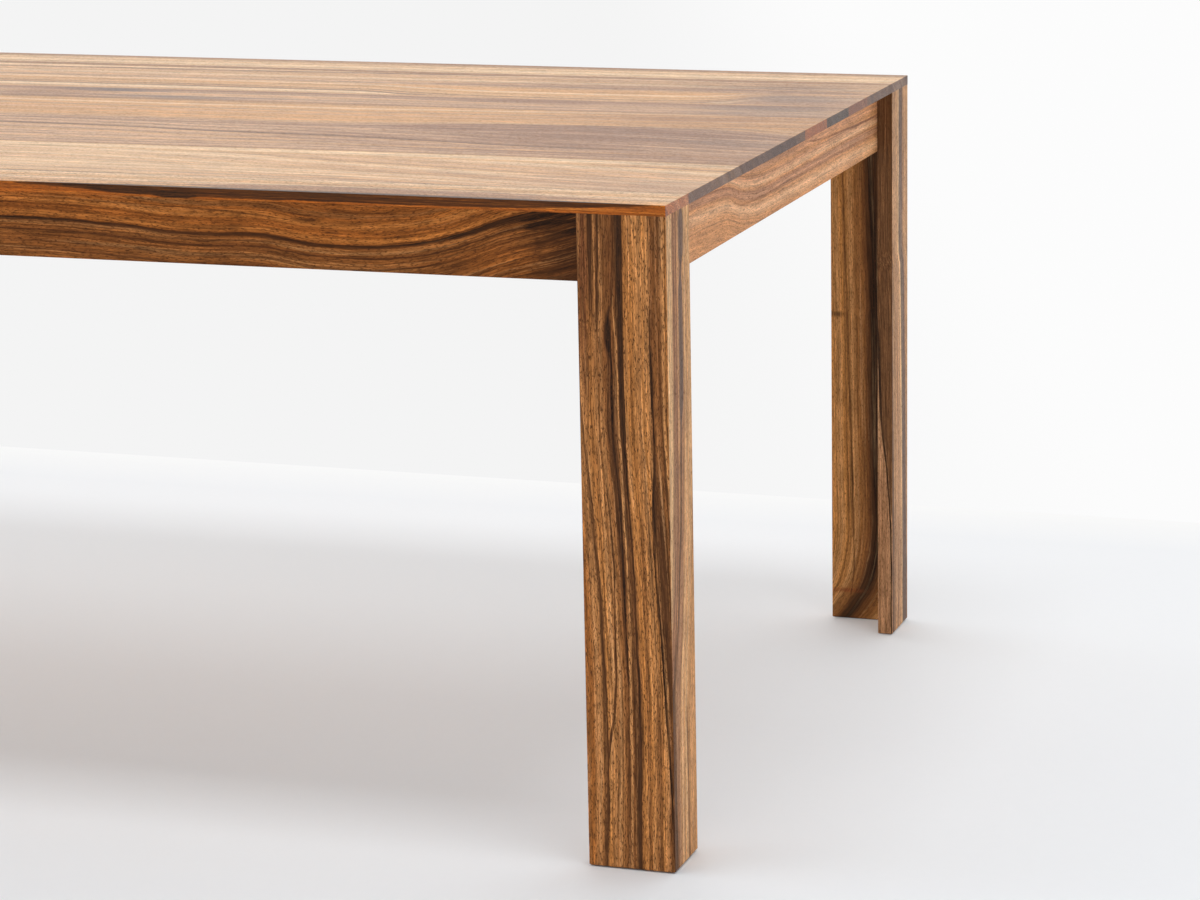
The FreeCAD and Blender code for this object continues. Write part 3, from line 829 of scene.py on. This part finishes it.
def streak_group():
    """How strongly a streak shows: a core broken up by the strands of the wood, and a paler halo."""
    known = bpy.data.node_groups.get("streak")
    if known:
        return known
    group = bpy.data.node_groups.new("streak", "ShaderNodeTree")
    for name in ("Across", "Path", "Half Width", "Soft Before", "Soft Beyond", "Strength", "Strand"):
        group.interface.new_socket(name, in_out="INPUT", socket_type="NodeSocketFloat")
    for name in ("Halo", "Core"):
        group.interface.new_socket(name, in_out="OUTPUT", socket_type="NodeSocketFloat")
    tree = Tree(group)
    inlet = tree.add("NodeGroupInput").outputs
    outlet = tree.add("NodeGroupOutput")
    away = tree.math("SUBTRACT", inlet["Across"], inlet["Path"])
    before = tree.math("LESS_THAN", away, 0.0)
    spread = tree.math("SUBTRACT", inlet["Soft Before"], inlet["Soft Beyond"])
    soft = tree.math("MULTIPLY_ADD", before, spread, inlet["Soft Beyond"])
    past = tree.math("SUBTRACT", tree.math("ABSOLUTE", away), inlet["Half Width"])
    shown = tree.range(tree.math("DIVIDE", past, soft), 0.0, 1.0, 1.0, 0.0, "LINEAR")
    halo = tree.math("MULTIPLY", tree.math("POWER", shown, 1.3), 0.8)
    core = tree.math("MULTIPLY", tree.range(shown, 0.35, 0.9), inlet["Strand"])
    tree.put(outlet.inputs["Halo"], tree.math("MULTIPLY", halo, inlet["Strength"]))
    tree.put(outlet.inputs["Core"], tree.math("MULTIPLY", core, inlet["Strength"]))
    return group


def board_place(tree, axes):
    """Places on a board in millimetres, along the grain, across the face and into the wood, and how far
    the surface there faces along the grain, across it and into the wood."""
    coordinates = tree.add("ShaderNodeTexCoord").outputs
    place = tree.split(coordinates["Object"])
    places = []
    for axis in axes:
        start = -axis.start * axis.sign
        places.append(tree.math("MULTIPLY_ADD", place[axis.letter], mm_per_metre * axis.sign, start))
    normal = tree.split(coordinates["Normal"])
    facing = [tree.math("ABSOLUTE", normal[axis.letter]) for axis in (axes.along, axes.across)]
    facing.append(tree.math("MULTIPLY", normal[axes.depth.letter], axes.depth.sign))
    return places, facing


def ground_colour(tree, layer, ground, tones):
    """The colours across a board, blended from each listed place to the next."""
    low, high = ground[0][0], ground[-1][0]
    ramp = tree.add("ShaderNodeValToRGB")
    stops = ramp.color_ramp.elements
    while len(stops) > 1:
        stops.remove(stops[0])
    for i, (spot, tone_name) in enumerate(ground):
        share_across = (spot - low) / (high - low)
        stop = stops[0] if i == 0 else stops.new(share_across)
        stop.position = share_across
        stop.color = wood(tones, tone_name)
    tree.put(ramp.inputs[0], tree.range(layer, low, high, kind="LINEAR"))
    return ramp.outputs[0]


def patch_mask(tree, place, patch, feather):
    """Where a patch shows: an oval with a ragged edge."""
    length, breadth = patch.size
    shift = (-patch.centre[0] / length, -patch.centre[1] / breadth, 0.0)
    reach = tree.length(tree.mapped(place, (1.0 / length, 1.0 / breadth, 1.0), shift))
    ragged = tree.math("MULTIPLY_ADD", feather, 1.6, reach)
    return tree.range(ragged, 1.05, 2.0, patch.strength, 0.0)


def walnut(name, axes, figure, seed, tones, finish):
    """The walnut of one board, with its figure laid out in millimetres on the board."""
    material, tree, shader = new_material(name)
    (along, across, depth), facings = board_place(tree, axes)
    place = tree.vector(along, across, depth)
    drift = (seed * 7.31, seed * 3.17, seed * 5.53)

    # The grain wanders a little, and all later layers but the mottle follow it.
    broad = tree.noise(place, broad_turns, 1.5, shift=drift)
    fine = tree.noise(place, ripple_turns, 2.0, shift=drift)
    wander = tree.math("MULTIPLY_ADD", broad, 2.0 * figure.waver, -figure.waver)
    ripple = tree.math("MULTIPLY_ADD", fine, 2.4, -1.2)
    unfolded = tree.math("SUBTRACT", across, depth)
    wandering = tree.math("ADD", tree.math("ADD", unfolded, wander), ripple)
    layer = wandering
    if figure.flow:
        layer = tree.math("SUBTRACT", wandering, tree.curve(along, figure.flow))
    fibres = tree.vector(along, layer, depth)

    # Ground, then growth layers: bands and rings that vary along the board, and a slow mottle.
    colour = ground_colour(tree, layer, figure.ground, tones)
    fineness = math.sqrt(figure.strand / usual_strand)
    bands = tree.noise(fibres, (0.0035, 0.16 * fineness, 0.16), 5.0, 0.66, drift)
    dark_bands = tree.range(bands, 0.47, 0.72, 0.0, 0.5 * figure.grain)
    pale_bands = tree.range(bands, 0.50, 0.30, 0.0, 0.27 * figure.grain)
    rings = tree.noise(fibres, ring_turns, 4.0, 0.62, (drift[1], drift[2], drift[0]))
    dark_rings = tree.range(rings, 0.55, 0.66, 0.0, 0.5 * figure.grain)
    colour = tree.mix(dark_bands, colour, rgba(tones.brown))
    colour = tree.mix(pale_bands, colour, rgba(tones.cream))
    colour = tree.mix(dark_rings, colour, rgba(tones.umber))
    mottle = tree.noise(place, mottle_turns, 3.0, 0.6, drift)
    colour = tree.mix(1.0, colour, tree.range(mottle, 0.25, 0.75, 0.86, 1.14, "LINEAR"), "MULTIPLY")

    # Patches, then streaks, both frayed by the strands of the wood.
    feather = tree.noise(fibres, (0.02 * fineness, 0.65 * figure.strand, 0.45), 3.0, 0.65, drift)
    strands = tree.noise(fibres, (0.005, figure.strand, 0.7), 3.0, 0.65, (drift[2], drift[1], drift[0]))
    strand = tree.range(strands, 0.36, 0.56, 0.25, 1.0)
    flat_place = tree.vector(along, wandering, 0.0)
    for patch in figure.patches:
        mask = patch_mask(tree, flat_place, patch, feather)
        colour = tree.mix(tree.math("MULTIPLY", mask, strand), colour, wood(tones, patch.tone))
    fray = 1.7 / figure.strand
    frayed = tree.math("ADD", wandering, tree.math("MULTIPLY_ADD", feather, fray, -fray / 2))
    for streak in figure.streaks:
        mark = tree.add("ShaderNodeGroup", node_tree=streak_group())
        path = tree.curve(along, streak.path)
        width = streak.width
        if not isinstance(width, (int, float)):
            width = tree.curve(along, width)
        tree.fill(mark.inputs, (frayed, path, width, *streak.soft, streak.strength, strand))
        halo_tone = halo_tones.get(streak.tone, streak.tone)
        colour = tree.mix(mark.outputs["Halo"], colour, wood(tones, halo_tone))
        colour = tree.mix(mark.outputs["Core"], colour, wood(tones, streak.tone))

    # Long threads, short fibres and open pores.
    lively = tones.fibre * figure.grain
    threads = tree.noise(fibres, thread_turns, 4.0, 0.72, (drift[1], drift[0], drift[2]))
    fibre = tree.noise(fibres, fibre_turns, 3.0, 0.78, drift)
    for strand_noise, depth_of_tone in ((threads, 0.55), (fibre, 0.50)):
        swing = depth_of_tone * lively
        tone_shift = tree.range(strand_noise, 0.3, 0.7, 1.0 - swing, 1.0 + swing, "LINEAR")
        colour = tree.mix(1.0, colour, tone_shift, "MULTIPLY")
    pore = tree.noise(fibres, pore_turns, 2.0, 0.6, (drift[2], drift[0], drift[1]))
    pores = tree.range(pore, 0.52, 0.64)
    pore_depth = tree.math("MULTIPLY", pores, tones.pores * figure.grain)
    colour = tree.mix(pore_depth, colour, rgba(tones.umber))

    # The board's own cast, and those of its ends, which drink more oil, its edges and its far face. On the
    # rear legs the far cast is painted shade, darkening the outer face that the strong light from behind
    # falls on.
    colour = tree.mix(1.0, colour, rgba(figure.tint), "MULTIPLY")
    for facing, cast in zip(facings, (figure.end, figure.edge, figure.far)):
        colour = tree.mix(tree.range(facing, 0.6, 0.9), colour, rgba(cast), "MULTIPLY")
    tree.put(shader.inputs["Base Color"], colour)

    rough = tree.math("MULTIPLY_ADD", fibre, 0.16, finish.roughness - 0.08)
    tree.put(shader.inputs["Roughness"], tree.math("MULTIPLY_ADD", pores, 0.2, rough))
    shader.inputs["IOR"].default_value = 1.5
    shader.inputs["Specular IOR Level"].default_value = finish.specular
    height = tree.math("SUBTRACT", tree.math("MULTIPLY", fibre, 0.35), pores)
    tree.bump(shader, height, 0.22, 0.0002)
    return material


def dress(node_name, material):
    """Puts a material on a CAD node."""
    slots = nodes[node_name].data.materials
    slots.clear()
    slots.append(material)


def dress_in_walnut(node_name, axes, figure, seed, tones, finish):
    """Gives a CAD node a walnut of its own."""
    dress(node_name, walnut(f"walnut_{node_name}", axes, figure, seed, tones, finish))


def frame_finish(tones):
    """The oiled surface of all boards but those of the top."""
    return Finish(tones.roughness, tones.specular)


def nodes_ending(*endings):
    found = [name for name in sorted(nodes) if name.endswith(endings)]
    if not found:
        raise RuntimeError(f"the packed model has no node that ends in {endings}")
    return found


# Operators, one for each group of like pieces

class TABLE_OT_top(bpy.types.Operator):
    """Give every stave of the top its own walnut"""

    bl_idname = "walnut_table.top"
    bl_label = "Finish Top"

    def execute(self, context):
        tones = context.scene.walnut_table.walnut
        staves = [name for name in sorted(nodes) if name.startswith("top_stave_")]
        if len(staves) != len(stave_figures):
            raise RuntimeError(f"{len(staves)} staves, but {len(stave_figures)} figures")
        finish = Finish(tones.top_roughness, tones.top_specular)
        for number, (stave, figure) in enumerate(zip(staves, stave_figures), 1):
            end = end_casts[stave_ends[number - 1]]
            grain = top_grain * figure.grain
            # The top's tint is partly painted sheen, which the edge cast takes off the front and rear edges
            figure = figure._replace(tint=top_tint_and_painted_sheen, end=end, edge=top_edge_cast, grain=grain)
            low, high = in_mm(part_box(stave))
            axes = Axes(Axis("X", 0.0), Axis("Y", low.y), Axis("Z", high.z, -1.0))
            dress_in_walnut(stave, axes, figure, seeds["stave"] + number, tones, finish)
        return {"FINISHED"}


class TABLE_OT_aprons(bpy.types.Operator):
    """Give the four aprons their walnut"""

    bl_idname = "walnut_table.aprons"
    bl_label = "Finish Aprons"

    def execute(self, context):
        tones = context.scene.walnut_table.walnut
        plans = (
            ("front_apron", "X", "Y", 1.0, front_apron_figure),
            ("rear_apron", "X", "Y", -1.0, hidden_apron_figure),
            ("right_end_apron", "Y", "X", -1.0, end_apron_figure),
            ("left_end_apron", "Y", "X", 1.0, hidden_apron_figure),
        )
        for number, (apron, length, thickness, inwards, figure) in enumerate(plans, 1):
            low, high = in_mm(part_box(apron))
            outer_face = getattr(low if inwards > 0 else high, thickness.lower())
            depth = Axis(thickness, outer_face, inwards)
            axes = Axes(Axis(length, 0.0), Axis("Z", apron_top, -1.0), depth)
            dress_in_walnut(apron, axes, figure, seeds["apron"] + number, tones, frame_finish(tones))
        return {"FINISHED"}


class TABLE_OT_legs(bpy.types.Operator):
    """Give the eight leg boards their walnut, so that the figure turns each corner"""

    bl_idname = "walnut_table.legs"
    bl_label = "Finish Legs"

    def execute(self, context):
        tones = context.scene.walnut_table.walnut
        finish = frame_finish(tones)
        for number, (side, end) in enumerate(product(("front", "rear"), ("right", "left")), 1):
            wide, returning = (f"{side}_{end}_leg_{board}_board" for board in ("wide", "return"))
            wide_figure, return_figure = leg_figures[side]
            end_face = table_high.x if end == "right" else table_low.x
            into_end = -1.0 if end == "right" else 1.0
            show_face = table_low.y if side == "front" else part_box(wide)[0].y * mm_per_metre
            wide_axes = Axes(Axis("Z", 0.0), Axis("X", end_face, -into_end), Axis("Y", show_face))
            return_across = Axis("Y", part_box(returning)[0].y * mm_per_metre)
            return_axes = Axes(Axis("Z", 0.0), return_across, Axis("X", end_face, into_end))
            dress_in_walnut(wide, wide_axes, wide_figure, seeds["leg_wide"] + number, tones, finish)
            seed = seeds["leg_return"] + number
            dress_in_walnut(returning, return_axes, return_figure, seed, tones, finish)
        return {"FINISHED"}


class TABLE_OT_frame(bpy.types.Operator):
    """Give the cross rails and glue blocks a plainer walnut"""

    bl_idname = "walnut_table.frame"
    bl_label = "Finish Inner Frame"

    def execute(self, context):
        tones = context.scene.walnut_table.walnut
        finish = frame_finish(tones)
        for number, rail in enumerate(nodes_ending("rail_1", "rail_2", "rail_3"), 1):
            low, high = in_mm(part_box(rail))
            axes = Axes(Axis("Y", 0.0), Axis("Z", low.z), Axis("X", high.x, -1.0))
            dress_in_walnut(rail, axes, frame_figure, seeds["rail"] + number, tones, finish)
        for number, block in enumerate(nodes_ending("glue_block"), 1):
            low, high = in_mm(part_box(block))
            axes = Axes(Axis("Z", 0.0), Axis("X", low.x), Axis("Y", high.y, -1.0))
            dress_in_walnut(block, axes, frame_figure, seeds["block"] + number, tones, finish)
        return {"FINISHED"}


def turned_wood(name, colour):
    """Pale close-grained wood with short flecks."""
    material, tree, shader = new_material(name)
    cloud = tree.even_noise(40.0, 3.0, 0.6)
    fleck = tree.even_noise(900.0, 2.0)
    shaded = tree.mix(tree.range(cloud, 0.35, 0.7, 0.0, 0.3), rgba(colour), beech_cloud)
    shaded = tree.mix(tree.range(fleck, 0.6, 0.72, 0.0, 0.5), shaded, beech_fleck)
    tree.put(shader.inputs["Base Color"], shaded)
    tree.put(shader.inputs["Roughness"], tree.range(fleck, 0.3, 0.7, 0.5, 0.7))
    return material


def metal(name, colour, roughness):
    """Plain metal with fine handling marks."""
    material, tree, shader = new_material(name)
    cloud = tree.even_noise(120.0, 4.0, 0.6)
    dulled = tuple(part * 0.72 for part in colour)
    shaded = tree.mix(tree.range(cloud, 0.3, 0.7), rgba(colour), rgba(dulled))
    tree.put(shader.inputs["Base Color"], shaded)
    tree.put(shader.inputs["Roughness"], tree.range(cloud, 0.3, 0.7, roughness - 0.08, roughness + 0.1))
    shader.inputs["Metallic"].default_value = 1.0
    tree.bump(shader, tree.even_noise(2500.0, 2.0), 0.1, 0.00005)
    return material


def moulded(name, colour):
    """Moulded plastic with a fine even grain."""
    material, tree, shader = new_material(name)
    grain = tree.even_noise(3000.0, 2.0)
    cloud = tree.even_noise(200.0, 2.0)
    lighter = tuple(min(1.0, part * 1.5) for part in colour)
    shaded = tree.mix(tree.range(cloud, 0.35, 0.65), rgba(colour), rgba(lighter))
    tree.put(shader.inputs["Base Color"], shaded)
    tree.put(shader.inputs["Roughness"], tree.range(grain, 0.3, 0.7, 0.45, 0.6))
    tree.bump(shader, grain, 0.15, 0.00005)
    return material


class TABLE_OT_joinery(bpy.types.Operator):
    """Give the dowels and loose tongues their beech"""

    bl_idname = "walnut_table.joinery"
    bl_label = "Finish Joinery"

    def execute(self, context):
        beech = turned_wood("beech", context.scene.walnut_table.fittings.beech)
        for name in nodes_ending("_dowels", "_leg_spline"):
            dress(name, beech)
        return {"FINISHED"}


class TABLE_OT_fittings(bpy.types.Operator):
    """Give bolts, washers, clips, screws, inserts and glides their finishes"""

    bl_idname = "walnut_table.fittings"
    bl_label = "Finish Fittings"

    def execute(self, context):
        tones = context.scene.walnut_table.fittings
        zinc = metal("zinc_plate", tones.zinc, 0.34)
        for name in nodes_ending("leg_bolts", "washers", "top_clips", "clip_screws"):
            dress(name, zinc)
        dress("threaded_inserts", metal("brass", tones.brass, 0.3))
        dress("foot_glides", moulded("glide_plastic", tones.glide))
        return {"FINISHED"}


def seen_directly(tree):
    """One for what the camera sees, straight, in a reflection or through glass, and otherwise nought."""
    path = tree.add("ShaderNodeLightPath").outputs
    seen = tree.math("MAXIMUM", path["Is Camera Ray"], path["Is Glossy Ray"])
    return tree.math("MAXIMUM", seen, path["Is Transmission Ray"])


def hang(lamp, power):
    """A soft rectangular lamp that faces a point."""
    data = bpy.data.lights.new(lamp.name, "AREA")
    data.shape = "RECTANGLE"
    data.size, data.size_y = lamp.width, lamp.height
    data.energy = power
    made = bpy.data.objects.new(lamp.name, data)
    made.location = lamp.place
    made.rotation_euler = (Vector(lamp.aim) - Vector(lamp.place)).to_track_quat("-Z", "Y").to_euler()
    made.visible_camera = False
    bpy.context.scene.collection.objects.link(made)
    return made


class TABLE_OT_stage(bpy.types.Operator):
    """Set up the floor, the light and the camera"""

    bl_idname = "walnut_table.stage"
    bl_label = "Set Stage"

    def execute(self, context):
        scene = context.scene
        studio = scene.walnut_table.studio
        self.lay_floor(studio)
        self.light_sky(scene, studio)
        hang(overhead_lamp, studio.overhead)
        hang(front_lamp, studio.fill).visible_glossy = False
        self.set_camera(scene, studio)
        scene.view_settings.view_transform = "Standard"
        return {"FINISHED"}

    def lay_floor(self, studio):
        """A wide pale floor that keeps the shadow and meets a backdrop along a faint line."""
        form = bmesh.new()
        bmesh.ops.create_grid(form, x_segments=1, y_segments=1, size=floor_half_width)
        data = bpy.data.meshes.new("floor")
        form.to_mesh(data)
        form.free()
        floor = bpy.data.objects.new("floor", data)
        bpy.context.scene.collection.objects.link(floor)
        material, tree, shader = new_material("pale_floor")
        dusted = tuple(part * 0.985 for part in studio.floor)
        dust = tree.even_noise(60.0, 3.0, 0.6)
        tree.put(shader.inputs["Base Color"], tree.mix(dust, rgba(studio.floor), rgba(dusted)))
        shader.inputs["Roughness"].default_value = 0.7
        shader.inputs["Specular IOR Level"].default_value = 0.1

        # It whitens a little behind the table, painted light that lifts the table's shadow there, more
        # towards the backdrop, and wholly far away.
        place = tree.object_place()
        x, y, _ = tree.split(place)
        painted_light = tree.range(y, painted_light_start, painted_light_end, 0.0, painted_light_most, "LINEAR")
        brink = tree.range(y, brink_start, studio.wall_line, kind="LINEAR")
        surround = tree.range(tree.length(place), surround_start, surround_end)
        whiteness = tree.math("MAXIMUM", tree.math("MAXIMUM", painted_light, brink), surround)
        # Painted light: the backdrop glows darker towards the left
        rightwards = tree.range(tree.math("MULTIPLY_ADD", y, wall_slant, x), wall_turn_start, wall_turn_end)
        wall = tree.mix(rightwards, rgba(studio.wall_left), rgba(studio.wall_right))
        beyond = tree.math("GREATER_THAN", y, studio.wall_line)
        glow = tree.add("ShaderNodeEmission")
        tree.put(glow.inputs["Color"], tree.mix(beyond, rgba(studio.floor_far), wall))
        sweep = tree.add("ShaderNodeMixShader")
        shown = tree.math("MULTIPLY", whiteness, seen_directly(tree))
        tree.fill(sweep.inputs, (shown, shader.outputs[0], glow.outputs[0]))
        output = next(made for made in tree.tree.nodes if made.type == "OUTPUT_MATERIAL")
        tree.put(output.inputs["Surface"], sweep.outputs[0])
        data.materials.append(material)

    def light_sky(self, scene, studio):
        """Light from all round, mostly from low down on one side; the camera and reflections see white."""
        world = bpy.data.worlds.new("studio_sky")
        world.use_nodes = True
        scene.world = world
        tree = Tree(world.node_tree)
        output = tree.add("ShaderNodeOutputWorld")
        towards = tree.add("ShaderNodeTexCoord").outputs["Generated"]
        lean = tree.add("ShaderNodeVectorMath", operation="DOT_PRODUCT")
        tree.fill(lean.inputs, (towards, studio.sky_lean))
        low_down = tree.math("MULTIPLY_ADD", tree.split(towards)["Z"], -studio.sky_droop, 1.0)
        sideways = tree.math("ADD", lean.outputs["Value"], 1.0)
        strength = tree.math("MULTIPLY", tree.math("MULTIPLY", low_down, sideways), studio.sky)
        light, backdrop = (tree.add("ShaderNodeBackground") for _ in range(2))
        light.inputs["Color"].default_value = white
        tree.put(light.inputs["Strength"], tree.math("MAXIMUM", strength, 0.0))
        backdrop.inputs["Color"].default_value = white
        either = tree.add("ShaderNodeMixShader")
        tree.fill(either.inputs, (seen_directly(tree), light.outputs[0], backdrop.outputs[0]))
        tree.put(output.inputs["Surface"], either.outputs[0])

    def set_camera(self, scene, studio):
        data = bpy.data.cameras.new("camera")
        data.sensor_width = sensor_width_mm
        data.lens = studio.lens
        camera = bpy.data.objects.new("camera", data)
        scene.collection.objects.link(camera)
        turn = Matrix.Rotation(studio.camera_heading, 4, "Z")
        tilt = Matrix.Rotation(math.pi / 2 - studio.camera_dip, 4, "X")
        roll = Matrix.Rotation(studio.camera_roll, 4, "Z")
        camera.matrix_world = Matrix.Translation(studio.camera_place) @ turn @ tilt @ roll
        scene.camera = camera


class TABLE_PT_panel(bpy.types.Panel):
    """Sidebar panel with the table's steps and settings"""

    bl_idname = "TABLE_PT_panel"
    bl_label = "Walnut Table"
    bl_space_type = "VIEW_3D"
    bl_region_type = "UI"
    bl_category = "Table"

    def draw(self, context):
        settings = context.scene.walnut_table
        for step in operators:
            self.layout.operator(step.bl_idname)
        for group in (settings.walnut, settings.fittings, settings.studio):
            box = self.layout.box()
            for name in group.__annotations__:
                box.prop(group, name)


operators = (
    TABLE_OT_top,
    TABLE_OT_aprons,
    TABLE_OT_legs,
    TABLE_OT_frame,
    TABLE_OT_joinery,
    TABLE_OT_fittings,
    TABLE_OT_stage,
)
classes = (WalnutTones, FittingTones, Studio, TableSettings, *operators, TABLE_PT_panel)


def register():
    for made in classes:
        bpy.utils.register_class(made)
    bpy.types.Scene.walnut_table = PointerProperty(type=TableSettings)


def unregister():
    del bpy.types.Scene.walnut_table
    for made in reversed(classes):
        bpy.utils.unregister_class(made)


def main():
    """Dresses the table and sets the stage."""
    register()
    bpy.ops.walnut_table.top()
    bpy.ops.walnut_table.aprons()
    bpy.ops.walnut_table.legs()
    bpy.ops.walnut_table.frame()
    bpy.ops.walnut_table.joinery()
    bpy.ops.walnut_table.fittings()
    bpy.ops.walnut_table.stage()


if __name__ == "__main__":
    main()
